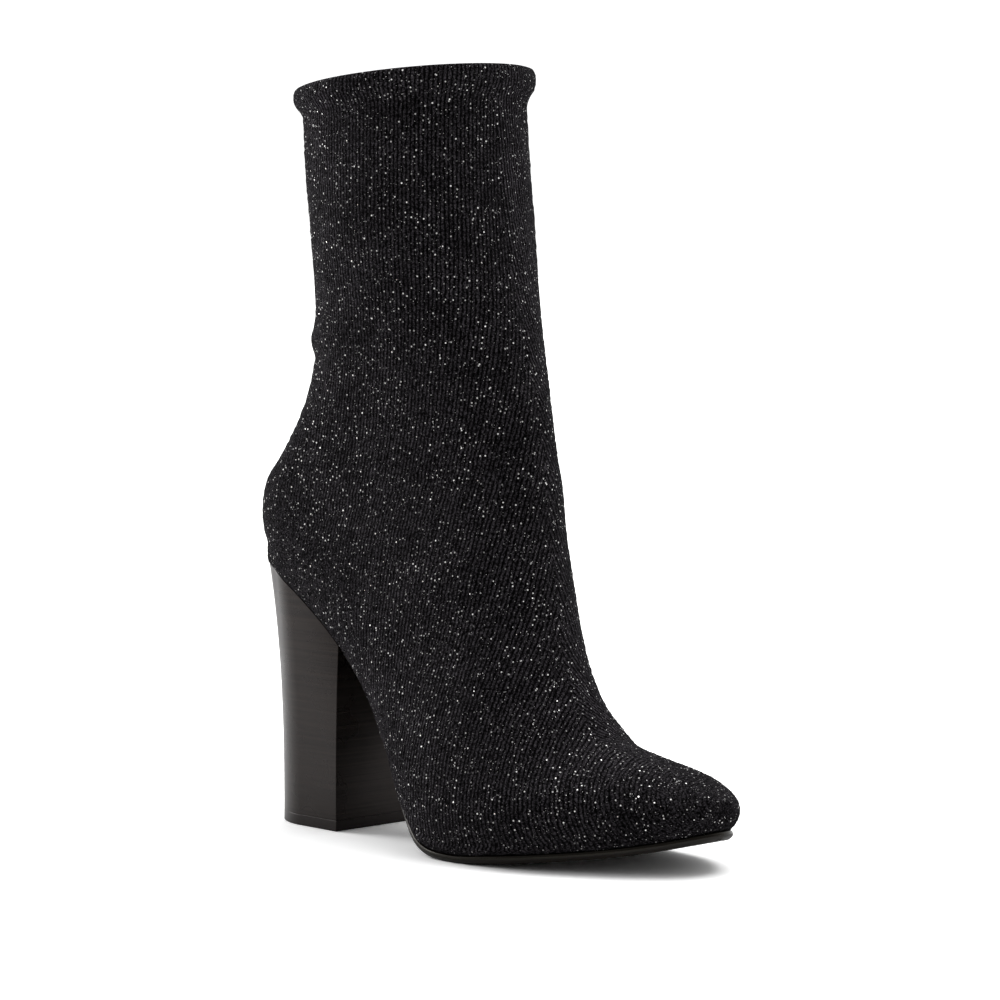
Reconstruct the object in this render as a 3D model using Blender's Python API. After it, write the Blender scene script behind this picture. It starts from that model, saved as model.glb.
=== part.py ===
"""A right-foot sock boot on a high block heel, in metres, +X to the toe, +Y to the inner side, +Z up.

The upper is a loft. Each section is a plane that holds the Y direction and runs from a point on the
underside or the back of the last to a point on its top or front, so the planes fan out from the toe, round
the heel and up the shaft. The outsole, heel block and insole follow the same underside and clearance.
"""

from collections import namedtuple
import math

import bmesh
import bpy
import numpy as np

# Driving sizes of the last and the boot
LENGTH = 0.225
BALL_WIDTH = 0.078
HEEL_HEIGHT = 0.104
TOE_SPRING = 0.0126
INSTEP_DEPTH = 0.140
SHAFT_HEIGHT = 0.1760
SHAFT_DEPTH = 0.091
SHAFT_WIDTH = 0.081

# The upper's wall, the margin turned in under the foot, and the toe and heel roundings in plan
WALL = 0.002
LASTING_MARGIN = 0.013
TOE_ROUND = 0.031
TOE_BULGE = 0.0035
NOSE_ROUND = 0.022
NOSE_HEIGHT = 0.0095
HEEL_ROUND = 0.026
HEEL_OVERHANG = 0.0035

# The rolled cuff
CUFF_HEIGHT = 0.0125
CUFF_SWELL = 0.0036

# Sole, heel and insole
SOLE_THICKNESS = 0.0026
SOLE_EDGE = 0.0007
UPRIGHT_EDGE = 0.6
TREAD = 0.0005
HEEL_DEPTH = 0.0478
BREAST_AT = 0.0586
HEEL_HALF_WIDTH = 0.0285
HEEL_TIP_THICKNESS = 0.0038
HEEL_FLARE = 2.6
HEEL_LEVELS = (0, 0.3, 0.55, 0.75, 0.9, 1)
INSOLE_THICKNESS = 0.002
INSOLE_INSET = 0.0035
CLEARANCE = 0.0003

# A section of the foot. low_x is a share of LENGTH. The underside rises by spring of TOE_SPRING and by rise
# of HEEL_HEIGHT. lean is in degrees from upright and depth is a share of INSTEP_DEPTH. mid, flat, outer and
# inner are shares of BALL_WIDTH: the middle of the section, half its flat underside, and its widest half on
# each side. widest is the share of the depth at which it is widest, and full the power of its upper curve.
Foot = namedtuple("Foot", "low_x spring rise lean depth mid flat outer inner widest full")
FOOT = (
    Foot(1.000, 1.10, 0.000, 0.0, 0.093, 0.150, 0.255, 0.290, 0.290, 0.46, 2.3),
    Foot(0.933, 0.76, 0.000, 3.0, 0.142, 0.132, 0.285, 0.330, 0.330, 0.42, 2.3),
    Foot(0.856, 0.49, 0.000, 7.8, 0.196, 0.095, 0.350, 0.400, 0.395, 0.38, 2.2),
    Foot(0.773, 0.29, 0.000, 14.3, 0.248, 0.036, 0.432, 0.482, 0.475, 0.34, 2.1),
    Foot(0.686, 0.12, 0.000, 22.5, 0.314, -0.006, 0.490, 0.537, 0.520, 0.30, 2.0),
    Foot(0.607, 0.00, 0.000, 29.7, 0.415, -0.028, 0.507, 0.553, 0.528, 0.27, 2.0),
    Foot(0.536, 0.00, 0.018, 35.4, 0.497, -0.040, 0.485, 0.548, 0.515, 0.26, 2.0),
    Foot(0.469, 0.00, 0.124, 42.0, 0.548, -0.042, 0.425, 0.530, 0.490, 0.26, 2.0),
    Foot(0.394, 0.00, 0.318, 51.9, 0.584, -0.020, 0.350, 0.485, 0.460, 0.26, 2.0),
    Foot(0.323, 0.00, 0.512, 60.5, 0.635, 0.000, 0.325, 0.458, 0.445, 0.26, 2.0),
    Foot(0.260, 0.00, 0.680, 66.0, 0.695, 0.000, 0.345, 0.442, 0.435, 0.26, 2.1),
    Foot(0.173, 0.00, 0.835, 70.7, 0.809, 0.000, 0.358, 0.430, 0.425, 0.25, 2.2),
    Foot(0.089, 0.00, 0.940, 72.2, 0.934, 0.000, 0.355, 0.425, 0.420, 0.24, 2.3),
    Foot(0.020, 0.00, 0.993, 72.3, 1.038, 0.000, 0.345, 0.420, 0.415, 0.23, 2.3),
    Foot(0.000, 0.00, 1.100, 73.7, 1.053, 0.000, 0.000, 0.420, 0.415, 0.23, 2.3),
    Foot(0.011, 0.00, 1.250, 76.2, 1.012, 0.000, 0.000, 0.418, 0.413, 0.24, 2.3),
    Foot(0.047, 0.00, 1.355, 77.2, 0.936, 0.000, 0.000, 0.415, 0.412, 0.27, 2.3),
)

# A section of the shaft. height is a share of SHAFT_HEIGHT above HEEL_HEIGHT, back and depth are shares of
# SHAFT_DEPTH, width a share of SHAFT_WIDTH, and tilt is in degrees up to the front.
Shaft = namedtuple("Shaft", "height back depth width tilt widest full")
SHAFT = (
    Shaft(0.280, 0.225, 1.293, 0.815, 11.2, 0.31, 2.3),
    Shaft(0.390, 0.316, 1.154, 0.830, 9.1, 0.38, 2.2),
    Shaft(0.526, 0.347, 1.063, 0.895, 5.0, 0.45, 2.1),
    Shaft(0.707, 0.343, 1.003, 0.985, 1.0, 0.50, 2.0),
    Shaft(0.826, 0.322, 0.991, 1.000, 1.4, 0.50, 2.0),
    Shaft(0.940, 0.309, 0.984, 1.000, 4.3, 0.50, 2.0),
    Shaft(1.000, 0.306, 0.984, 1.000, 6.3, 0.50, 2.0),
)

# The cuff's bead: share of CUFF_HEIGHT from its lower edge, and share of CUFF_SWELL that it stands out
Bead = namedtuple("Bead", "up out")
CUFF = (
    Bead(0.0, 0.0),
    Bead(0.22, 0.40),
    Bead(0.45, 0.92),
    Bead(0.66, 1.0),
    Bead(0.86, 0.85),
    Bead(1.0, 0.35),
)

# How finely the loft is cut. The toe and the heel begin to turn at these angles, in degrees.
TOE_STATIONS = 8
TOE_FROM = 84
HEEL_STATIONS = 8
HEEL_FROM = 9
HEEL_BODY_CUTS = 4
STATION_STEP = 0.0084
FLAT_CUTS = 3
SIDE_CUTS = 14
SIDE_CROWDING = 1.15
SMALLEST_FLAT = 0.012
SMALLEST_SHARE = 0.2
OUTLINE_SAMPLES = 40
PROFILE_SAMPLES = 4000
PROBE = 0.0005


def blend(knots, values, at):
    """Reads the smooth curve through the rows of values, which lie at knots."""
    slopes = np.gradient(values, knots, axis=0)
    k = np.clip(np.searchsorted(knots, at, side="right") - 1, 0, len(knots) - 2)
    span = (knots[k + 1] - knots[k])[:, None]
    u = (at - knots[k])[:, None] / span
    start, end = values[k], values[k + 1]
    return (
        (2 * u**3 - 3 * u**2 + 1) * start
        + (u**3 - 2 * u**2 + u) * slopes[k] * span
        + (3 * u**2 - 2 * u**3) * end
        + (u**3 - u**2) * slopes[k + 1] * span
    )


def foot_row(row):
    """A section of the foot in metres: low x and z, top x and z, mid, flat, outer, inner, widest, full."""
    ground = SOLE_THICKNESS + CLEARANCE
    low_x = row.low_x * LENGTH
    low_z = ground + row.spring * TOE_SPRING + row.rise * (HEEL_HEIGHT - ground)
    lean = math.radians(row.lean)
    depth = row.depth * INSTEP_DEPTH
    across = [share * BALL_WIDTH for share in (row.mid, row.flat, row.outer, row.inner)]
    top = [low_x + depth * math.sin(lean), low_z + depth * math.cos(lean)]
    return [low_x, low_z, *top, *across, row.widest, row.full]


def shaft_row(row):
    """One section of the shaft in metres, in the same columns."""
    low_x = row.back * SHAFT_DEPTH
    low_z = HEEL_HEIGHT + row.height * SHAFT_HEIGHT
    tilt = math.radians(row.tilt)
    depth = row.depth * SHAFT_DEPTH
    half = row.width * SHAFT_WIDTH / 2
    top = [low_x + depth * math.cos(tilt), low_z + depth * math.sin(tilt)]
    return [low_x, low_z, *top, 0.0, 0.0, half, half, row.widest, row.full]


ROWS = np.array([foot_row(row) for row in FOOT] + [shaft_row(row) for row in SHAFT])


def row_knots():
    """Distance along the boot at each row, the mean of the lower and the upper profile."""
    steps = np.diff(ROWS[:, :4], axis=0)
    lengths = (np.hypot(steps[:, 0], steps[:, 1]) + np.hypot(steps[:, 2], steps[:, 3])) / 2
    return np.concatenate([[0.0], np.cumsum(lengths)])


KNOTS = row_knots()


def rounding(x, start, end):
    """1 up to start, then a quarter of an ellipse that falls to 0 at end."""
    u = np.clip((x - start) / (end - start), 0, 1)
    return np.sqrt(1 - u**2)


def sections(at):
    """The sections at these distances along the boot, with the toe and the heel seat rounded off in plan."""
    rows = blend(KNOTS, ROWS, np.asarray(at))
    low_x, top_x = rows[:, 0].copy(), rows[:, 2].copy()
    feather_tip = LENGTH - TOE_BULGE
    in_toe = low_x > feather_tip - TOE_ROUND - NOSE_ROUND
    width = rounding(low_x, LENGTH - TOE_ROUND - TOE_BULGE, LENGTH)
    rows[:, 5] = np.maximum(rows[:, 5], 0) * rounding(low_x, feather_tip - TOE_ROUND, feather_tip)
    in_heel = (low_x < HEEL_OVERHANG + HEEL_ROUND) & (rows[:, 5] > 0)
    seat_round = rounding(-low_x, -HEEL_OVERHANG - HEEL_ROUND, -HEEL_OVERHANG)
    rows[:, 5] = np.where(in_heel, rows[:, 5] * seat_round, rows[:, 5])
    rows[:, 6:8] *= width[:, None]
    nose_z = rows[:, 1] + NOSE_HEIGHT
    lift = NOSE_HEIGHT * (1 - rounding(low_x, feather_tip, LENGTH))
    drop = rounding(top_x, LENGTH - NOSE_ROUND, LENGTH)
    rows[:, 3] = np.where(in_toe, nose_z + (rows[:, 3] - nose_z) * drop, rows[:, 3])
    rows[:, 1] += lift
    return rows


def heel_turn(back):
    """Places round the back of the heel, and the share of the half width at each."""
    angles = np.radians(np.linspace(HEEL_FROM, 90, HEEL_STATIONS))
    return back + HEEL_ROUND * (1 - np.cos(angles)), np.sin(angles)


def stations():
    """Distances along the boot at which the loft is cut: close together at the toe, the heel and the cuff."""
    fine = np.linspace(0, KNOTS[-1], PROFILE_SAMPLES)
    low_x = blend(KNOTS, ROWS, fine)[:, 0]
    foot = slice(0, np.argmin(low_x))
    turn = np.radians(np.linspace(TOE_FROM, 0, TOE_STATIONS))
    toe_x = LENGTH - (TOE_ROUND + TOE_BULGE) * (1 - np.sin(turn))
    toe = np.interp(-toe_x, -low_x[foot], fine[foot])
    heel = np.interp(-heel_turn(HEEL_OVERHANG)[0][::-1], -low_x[foot], fine[foot])
    cuff = KNOTS[-1] - CUFF_HEIGHT * (1 - np.array([bead.up for bead in CUFF]))
    body = np.linspace(toe[-1], heel[0], round((heel[0] - toe[-1]) / STATION_STEP) + 1)
    shaft = np.linspace(heel[-1], cuff[0], round((cuff[0] - heel[-1]) / STATION_STEP) + 1)
    return np.concatenate([toe[:-1], body[:-1], heel, shaft[1:], cuff[1:]])


def half_outline(flat, half, depth, widest, full):
    """From the middle of the underside, out along it, up the side and in to the top, as y and t.

    The side leaves a wide underside at an edge, as a shoe does at its sole, and a narrow one in a round end.
    """
    turn = np.linspace(0, math.pi / 2, OUTLINE_SAMPLES)
    low = widest * depth
    roundness = 2 - flat / half
    up = 1 - np.cos(turn)
    side = np.stack([flat + (half - flat) * (1 - (1 - up) ** 2) ** (1 / roundness), low * up], 1)
    bend = 2 / full
    over = np.stack([half * np.cos(turn) ** bend, low + (depth - low) * np.sin(turn) ** bend], 1)
    return np.concatenate([[[0.0, 0.0]], side, over[1:]])


def spaced(outline, flat):
    """The outline at FLAT_CUTS places under the foot and SIDE_CUTS up the side."""
    steps = np.hypot(*np.diff(outline, axis=0).T)
    along = np.concatenate([[0.0], np.cumsum(steps)])
    edge = max(flat, min(SMALLEST_FLAT, along[-1] * SMALLEST_SHARE))
    first = max(1 / FLAT_CUTS, 1 - LASTING_MARGIN / edge)
    under = edge * np.concatenate([[0.0], np.linspace(first, 1, FLAT_CUTS)])
    side = edge + (along[-1] - edge) * (np.arange(1, SIDE_CUTS + 1) / SIDE_CUTS) ** SIDE_CROWDING
    at = np.concatenate([under, side])
    return np.stack([np.interp(at, along, outline[:, 0]), np.interp(at, along, outline[:, 1])], 1)


def ring(row, swell=0.0):
    """One closed section in space: the outer side up to the top, then the inner side back down."""
    low = np.array([row[0], row[1]])
    top = np.array([row[2], row[3]])
    depth = np.hypot(*(top - low))
    along = (top - low) / depth
    low = low - along * swell
    depth += 2 * swell
    outer = spaced(half_outline(row[5], row[6] + swell, depth, row[8], row[9]), row[5])
    inner = spaced(half_outline(row[5], row[7] + swell, depth, row[8], row[9]), row[5])
    y = np.concatenate([-outer[:, 0], inner[-2:0:-1, 0]]) + row[4]
    t = np.concatenate([outer[:, 1], inner[-2:0:-1, 1]])
    return np.stack([low[0] + along[0] * t, y, low[1] + along[1] * t], 1)


def normals(grid, at):
    """Outward normals of a loft's grid, rings by places, with its rings at these distances."""
    round_it = np.roll(grid, -1, axis=1) - np.roll(grid, 1, axis=1)
    along = np.gradient(grid, at, axis=0)
    out = np.cross(round_it, along)
    return out / np.linalg.norm(out, axis=2, keepdims=True)


def underside():
    """Fine samples of the underside from the heel to the toe: x, z, mid and half its flat width."""
    fine = sections(np.linspace(0, KNOTS[len(FOOT) - 3], PROFILE_SAMPLES))
    keep = (fine[:, 0] > HEEL_OVERHANG) & (fine[:, 0] < LENGTH - TOE_BULGE)
    order = np.argsort(fine[keep, 0])
    return fine[keep][order][:, [0, 1, 4, 5]]


UNDER = underside()


def under(x):
    """Height, middle and half width of the underside at x."""
    return [np.interp(x, UNDER[:, 0], UNDER[:, column]) for column in (1, 2, 3)]


def slope(x):
    """Rise of the underside for each step of x."""
    return (under(x + PROBE)[0] - under(x - PROBE)[0]) / (2 * PROBE)


def below(x, distance):
    """The point at this distance square below the underside at x; a negative distance lies above it."""
    size = math.hypot(1, slope(x))
    return x + distance * slope(x) / size, under(x)[0] - distance / size


def plumb(x, distance):
    """The point straight under x on the surface that lies at this distance square below the underside."""
    return x, under(x)[0] - distance * math.hypot(1, slope(x))


def feather(x, side, grow):
    """A point of the feather line at x, moved out by grow, as x and y."""
    ends = []
    for place in (max(x - PROBE, UNDER[0, 0]), min(x + PROBE, UNDER[-1, 0])):
        _, mid, half = under(place)
        ends.append((place, mid + side * half))
    run = np.subtract(ends[1], ends[0])
    run /= np.hypot(*run)
    _, mid, half = under(x)
    return x - side * run[1] * grow, mid + side * (half + run[0] * grow)


def material(name, colour, roughness):
    """A plain Principled material."""
    made = bpy.data.materials.new(name)
    made.use_nodes = True
    shader = made.node_tree.nodes["Principled BSDF"]
    shader.inputs["Base Color"].default_value = (*colour, 1)
    shader.inputs["Roughness"].default_value = roughness
    made.diffuse_color = (*colour, 1)
    return made


def add(name, points, faces, finish):
    """Makes an object of these faces, without loose points and with its normals out."""
    shape = bmesh.new()
    corners = [shape.verts.new(point) for point in points]
    for face in faces:
        shape.faces.new([corners[i] for i in face])
    bmesh.ops.delete(shape, geom=[corner for corner in corners if not corner.link_faces], context="VERTS")
    bmesh.ops.recalc_face_normals(shape, faces=shape.faces)
    mesh = bpy.data.meshes.new(name)
    shape.to_mesh(mesh)
    shape.free()
    mesh.materials.append(finish)
    mesh.shade_smooth()
    mesh.set_sharp_from_angle(angle=math.radians(35))
    made = bpy.data.objects.new(name, mesh)
    bpy.context.scene.collection.objects.link(made)
    return made


def loft(name, rings, finish):
    """A solid through rings that run up the outer side and back down the inner one, closed at both ends."""
    count, size = len(rings), len(rings[0])
    faces = []
    for i in range(count - 1):
        for j in range(size):
            k = (j + 1) % size
            faces.append((i * size + j, i * size + k, (i + 1) * size + k, (i + 1) * size + j))
    for i in (0, count - 1):
        for j in range(size // 2 - 1):
            faces.append((i * size + j, i * size + j + 1, (i + 1) * size - 2 - j, (i + 1) * size - 1 - j))
    return add(name, [point for one in rings for point in one], faces, finish)


def upper():
    """The knitted sock: an outer and an inner skin, open at the collar and inside the lasting margin."""
    at = stations()
    rows = sections(at)
    up = (at - at[-1]) / CUFF_HEIGHT + 1
    swell = CUFF_SWELL * np.interp(up, [bead.up for bead in CUFF], [bead.out for bead in CUFF])
    plain = np.array([ring(row) for row in rows])
    outer = np.array([ring(row, out) for row, out in zip(rows, swell)])
    inner = plain - normals(plain, at) * WALL
    rise = plain[-1] - plain[-2]
    rim = (outer[-1] + inner[-1]) / 2 + rise / np.linalg.norm(rise, axis=1, keepdims=True) * WALL / 2
    count, size = plain.shape[:2]
    hole = [i for i in range(count) if rows[i, 5] > LASTING_MARGIN + SMALLEST_FLAT * SMALLEST_SHARE]
    first, last = hole[0], hole[-1]
    skin = count * size
    faces = []
    for i in range(count - 1):
        for j in range(size):
            if first <= i < last and j in (0, size - 1):
                continue
            k = (j + 1) % size
            quad = (i * size + j, i * size + k, (i + 1) * size + k, (i + 1) * size + j)
            faces.append(quad)
            faces.append([corner + skin for corner in reversed(quad)])
    border = [(i, 1) for i in range(first, last + 1)] + [(last, 0)]
    border += [(i, size - 1) for i in range(last, first - 1, -1)] + [(first, 0)]
    for (i, j), (k, m) in zip(border, border[1:] + border[:1]):
        faces.append((i * size + j, k * size + m, k * size + m + skin, i * size + j + skin))
    top = (count - 1) * size
    for j in range(size):
        k = (j + 1) % size
        faces.append((top + j, top + k, 2 * skin + k, 2 * skin + j))
        faces.append((2 * skin + j, 2 * skin + k, top + skin + k, top + skin + j))
    for start in (0, skin):
        half = size // 2
        faces.append((start, start + 1, start + size - 1))
        for j in range(1, half - 1):
            faces.append((start + j, start + j + 1, start + size - j - 1, start + size - j))
        faces.append((start + half - 1, start + half, start + half + 1))
    points = np.concatenate([outer.reshape(-1, 3), inner.reshape(-1, 3), rim])
    return add("upper", points, faces, material("black glitter knit", (0.013, 0.012, 0.0125), 0.8))


def places(start, end):
    """The upper's own cuts between start and end, and both of them, so that the pieces share their facets."""
    cuts = sections(stations())[:, 0]
    cuts = cuts[: np.argmin(cuts)][::-1]
    return np.concatenate([[start], cuts[(cuts > start + SOLE_THICKNESS) & (cuts < end - CLEARANCE)], [end]])


def outsole():
    """The sole from the heel breast to the toe, square to the feather line, its tread sanded to the ground."""
    start = BREAST_AT + CLEARANCE
    layers = ((0.0, SOLE_EDGE), (UPRIGHT_EDGE * SOLE_THICKNESS, SOLE_EDGE), (SOLE_THICKNESS + TREAD, 0.0))
    rings = []
    for x in places(start, LENGTH - TOE_BULGE - CLEARANCE):
        sides = []
        for side in (-1, 1):
            line = []
            for down, grow in layers:
                distance = CLEARANCE + down
                edge_x, edge_y = feather(x, side, grow)
                level_x, level_z = plumb(x, distance) if x == start else below(edge_x, distance)
                line.append((max(level_x, start), edge_y, max(level_z, 0)))
            sides.append(line)
        rings.append(sides[0][::-1] + sides[1])
    return loft("outsole", rings, material("black sole edge", (0.02, 0.017, 0.014), 0.35))


def insole():
    """The sock lining's board, on the lasting margin inside the upper."""
    rings = []
    for x in places(HEEL_OVERHANG + 2 * INSOLE_INSET, LENGTH - TOE_BULGE - 2 * INSOLE_INSET):
        sides = []
        for side in (-1, 1):
            edge_x, edge_y = feather(x, side, -INSOLE_INSET)
            line = []
            for height in (WALL + CLEARANCE, WALL + CLEARANCE + INSOLE_THICKNESS):
                level_x, level_z = below(edge_x, -height)
                line.append((level_x, edge_y, level_z))
            sides.append(line)
        rings.append(sides[0] + sides[1][::-1])
    return loft("insole", rings, material("grey lining", (0.18, 0.17, 0.16), 0.7))


def heel_places(back):
    """Places from the round back to the breast, and the share of the half width at each."""
    turn, share = heel_turn(back)
    body = np.linspace(turn[-1], BREAST_AT, HEEL_BODY_CUTS + 1)[1:]
    return np.concatenate([turn, body]), np.concatenate([share, np.ones(HEEL_BODY_CUTS)])


def heel_block():
    """The block under the seat: a flat breast, and a round back that curves out to the seat's edge."""
    foot_x, share = heel_places(BREAST_AT - HEEL_DEPTH)
    seat_x, _ = heel_places(HEEL_OVERHANG)
    base = HEEL_TIP_THICKNESS + CLEARANCE
    rings = []
    for low_x, high_x, part in zip(foot_x, seat_x, share):
        top_x, top_z = below(high_x, CLEARANCE)
        top_x = min(top_x, BREAST_AT)
        low_y, top_y = HEEL_HALF_WIDTH * part, under(high_x)[2]
        side = []
        for up in HEEL_LEVELS:
            flare = up**HEEL_FLARE
            out_x, out_y = low_x + (top_x - low_x) * flare, low_y + (top_y - low_y) * flare
            side.append((out_x, out_y, base + (top_z - base) * up))
        rings.append([(x, -y, z) for x, y, z in side] + side[::-1])
    return loft("heel_block", rings, material("stacked heel", (0.05, 0.042, 0.037), 0.3))


def heel_tip():
    """The top piece, with the outline of the block's foot."""
    rings = []
    for x, part in zip(*heel_places(BREAST_AT - HEEL_DEPTH)):
        y = HEEL_HALF_WIDTH * part
        rings.append([(x, -y, 0), (x, -y, HEEL_TIP_THICKNESS), (x, y, HEEL_TIP_THICKNESS), (x, y, 0)])
    return loft("heel_tip", rings, material("heel top piece", (0.02, 0.018, 0.017), 0.5))


def centre(pieces):
    """Moves the boot so that its origin lies under the middle of its box."""
    corners = np.array([point.co for piece in pieces for point in piece.data.vertices])
    low, high = corners.min(axis=0), corners.max(axis=0)
    for piece in pieces:
        piece.location = (-(low[0] + high[0]) / 2, -(low[1] + high[1]) / 2, -low[2])


def main():
    for thing in list(bpy.data.objects):
        bpy.data.objects.remove(thing)
    centre([upper(), outsole(), insole(), heel_block(), heel_tip()])


main()
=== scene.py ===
"""A right-foot sock boot in black glitter rib knit on a stacked block heel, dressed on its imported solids."""
from collections import namedtuple
import math

import bpy
import numpy as np
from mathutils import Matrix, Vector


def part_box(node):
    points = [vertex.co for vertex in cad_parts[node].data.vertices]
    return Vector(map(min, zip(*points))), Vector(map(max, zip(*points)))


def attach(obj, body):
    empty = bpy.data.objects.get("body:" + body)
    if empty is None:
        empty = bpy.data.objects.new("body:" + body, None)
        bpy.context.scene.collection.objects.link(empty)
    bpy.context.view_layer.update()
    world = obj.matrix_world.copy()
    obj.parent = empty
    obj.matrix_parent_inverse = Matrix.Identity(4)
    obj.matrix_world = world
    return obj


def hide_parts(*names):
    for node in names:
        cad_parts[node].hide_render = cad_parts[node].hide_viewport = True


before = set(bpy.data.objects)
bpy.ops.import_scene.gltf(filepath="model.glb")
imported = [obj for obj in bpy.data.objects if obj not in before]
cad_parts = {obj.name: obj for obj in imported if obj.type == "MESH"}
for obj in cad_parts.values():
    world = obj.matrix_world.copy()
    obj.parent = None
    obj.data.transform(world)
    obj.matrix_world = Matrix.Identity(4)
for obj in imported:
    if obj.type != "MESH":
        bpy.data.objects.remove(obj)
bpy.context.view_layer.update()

# The knitted upper
# A tube of black rib knit with a fine flat silver yarn, pulled over a last and lasted in under the foot.
# The ribs run straight up the shaft, lean back over the foot and meet in a chevron down the front.

# Sizes of the last and the boot, in metres
LENGTH = 0.225
BALL_WIDTH = 0.078
HEEL_HEIGHT = 0.104
TOE_SPRING = 0.0126
INSTEP_DEPTH = 0.140
SHAFT_HEIGHT = 0.1760
SHAFT_DEPTH = 0.091
SHAFT_WIDTH = 0.081
WALL = 0.002
LASTING_MARGIN = 0.013
TOE_ROUND = 0.031
TOE_BULGE = 0.0035
NOSE_ROUND = 0.022
NOSE_HEIGHT = 0.0095
HEEL_ROUND = 0.026
HEEL_OVERHANG = 0.0035
CUFF_HEIGHT = 0.0125
CUFF_SWELL = 0.0036
SOLE_THICKNESS = 0.0026
CLEARANCE = 0.0003

# Sections of the foot, as shares of the sizes above, with lean in degrees from upright
Foot = namedtuple("Foot", "low_x spring rise lean depth mid flat outer inner widest full")
FOOT = (
    Foot(1.000, 1.10, 0.000, 0.0, 0.093, 0.150, 0.255, 0.290, 0.290, 0.46, 2.3),
    Foot(0.933, 0.76, 0.000, 3.0, 0.142, 0.132, 0.285, 0.330, 0.330, 0.42, 2.3),
    Foot(0.856, 0.49, 0.000, 7.8, 0.196, 0.095, 0.350, 0.400, 0.395, 0.38, 2.2),
    Foot(0.773, 0.29, 0.000, 14.3, 0.248, 0.036, 0.432, 0.482, 0.475, 0.34, 2.1),
    Foot(0.686, 0.12, 0.000, 22.5, 0.314, -0.006, 0.490, 0.537, 0.520, 0.30, 2.0),
    Foot(0.607, 0.00, 0.000, 29.7, 0.415, -0.028, 0.507, 0.553, 0.528, 0.27, 2.0),
    Foot(0.536, 0.00, 0.018, 35.4, 0.497, -0.040, 0.485, 0.548, 0.515, 0.26, 2.0),
    Foot(0.469, 0.00, 0.124, 42.0, 0.548, -0.042, 0.425, 0.530, 0.490, 0.26, 2.0),
    Foot(0.394, 0.00, 0.318, 51.9, 0.584, -0.020, 0.350, 0.485, 0.460, 0.26, 2.0),
    Foot(0.323, 0.00, 0.512, 60.5, 0.635, 0.000, 0.325, 0.458, 0.445, 0.26, 2.0),
    Foot(0.260, 0.00, 0.680, 66.0, 0.695, 0.000, 0.345, 0.442, 0.435, 0.26, 2.1),
    Foot(0.173, 0.00, 0.835, 70.7, 0.809, 0.000, 0.358, 0.430, 0.425, 0.25, 2.2),
    Foot(0.089, 0.00, 0.940, 72.2, 0.934, 0.000, 0.355, 0.425, 0.420, 0.24, 2.3),
    Foot(0.020, 0.00, 0.993, 72.3, 1.038, 0.000, 0.345, 0.420, 0.415, 0.23, 2.3),
    Foot(0.000, 0.00, 1.100, 73.7, 1.053, 0.000, 0.000, 0.420, 0.415, 0.23, 2.3),
    Foot(0.011, 0.00, 1.250, 76.2, 1.012, 0.000, 0.000, 0.418, 0.413, 0.24, 2.3),
    Foot(0.047, 0.00, 1.355, 77.2, 0.936, 0.000, 0.000, 0.415, 0.412, 0.27, 2.3),
)

# Sections of the shaft, as shares of its sizes, with tilt in degrees up to the front
Shaft = namedtuple("Shaft", "height back depth width tilt widest full")
SHAFT = (
    Shaft(0.280, 0.225, 1.293, 0.815, 11.2, 0.31, 2.3),
    Shaft(0.390, 0.316, 1.154, 0.830, 9.1, 0.38, 2.2),
    Shaft(0.526, 0.347, 1.063, 0.895, 5.0, 0.45, 2.1),
    Shaft(0.707, 0.343, 1.003, 0.985, 1.0, 0.50, 2.0),
    Shaft(0.826, 0.322, 0.991, 1.000, 1.4, 0.50, 2.0),
    Shaft(0.940, 0.309, 0.984, 1.000, 4.3, 0.50, 2.0),
    Shaft(1.000, 0.306, 0.984, 1.000, 6.3, 0.50, 2.0),
)

# The rolled cuff: share of its height, and share of its swell
CUFF = ((0.0, 0.0), (0.09, 0.01), (0.18, 0.07), (0.26, 0.18), (0.34, 0.36), (0.42, 0.56), (0.50, 0.75),
        (0.58, 0.89), (0.66, 0.97), (0.74, 1.0), (0.82, 1.0), (0.90, 0.97), (0.96, 0.92), (1.0, 0.85))
RIM_CUTS = 5

# How finely the knit is cut
STATION_STEP = 0.0014
TOE_STATIONS = 24
HEEL_STATIONS = 20
FLAT_CUTS = 4
SIDE_CUTS = 56
SIDE_CROWDING = 1.15
SMALLEST_FLAT = 0.012
FINE = 160

# The loops stand unevenly, so the outline is a little rough
UNEVEN = 0.00010
SEED = 4

# Ribs: one every RIB_PITCH, with their lean to the toe at the foot's lower and upper edge, in degrees. at is
# the share of the way from the toe to the collar.
RIB_PITCH = 0.00155
Lean = namedtuple("Lean", "at low high")
RIB_LEAN = (
    Lean(0.0, -30, -25), Lean(0.10, -20, -5), Lean(0.20, -16, 3), Lean(0.30, -8, 8), Lean(0.42, 0, 10),
    Lean(0.52, 5, 12), Lean(0.62, 8, 10), Lean(0.72, 4, 5), Lean(0.80, 0, 0), Lean(1.0, 0, 0),
)
# The ribs are worked out at every fifth ring and place
NET_STEP = 5

# Soft folds of the knit: where along the boot and round it (0 at the back, 1 at the front, the outer side
# negative), how far each reaches, and how deep it lies. A depth below 0 is a ridge.
Fold = namedtuple("Fold", "at round reach_at reach_round depth")
FOLDS = (
    Fold(0.753, -0.25, 0.011, 0.20, -0.0017), Fold(0.7365, -0.25, 0.005, 0.20, 0.0005),
    Fold(0.750, 0.18, 0.012, 0.16, -0.0012), Fold(0.735, 0.14, 0.006, 0.16, 0.0006),
    Fold(0.900, 0.940, 0.050, 0.020, 0.0004), Fold(0.905, -0.990, 0.050, 0.020, 0.0004),
    Fold(0.235, -0.93, 0.020, 0.030, 0.0006), Fold(0.235, 0.90, 0.020, 0.030, 0.0006),
)
# Where a few ribs are drawn together, with the share by which their grooves deepen, in bump and painted shade,
# as its depth
PINCH_AND_SHADE = Fold(0.905, 0.965, 0.060, 0.045, 0.9)


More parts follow.
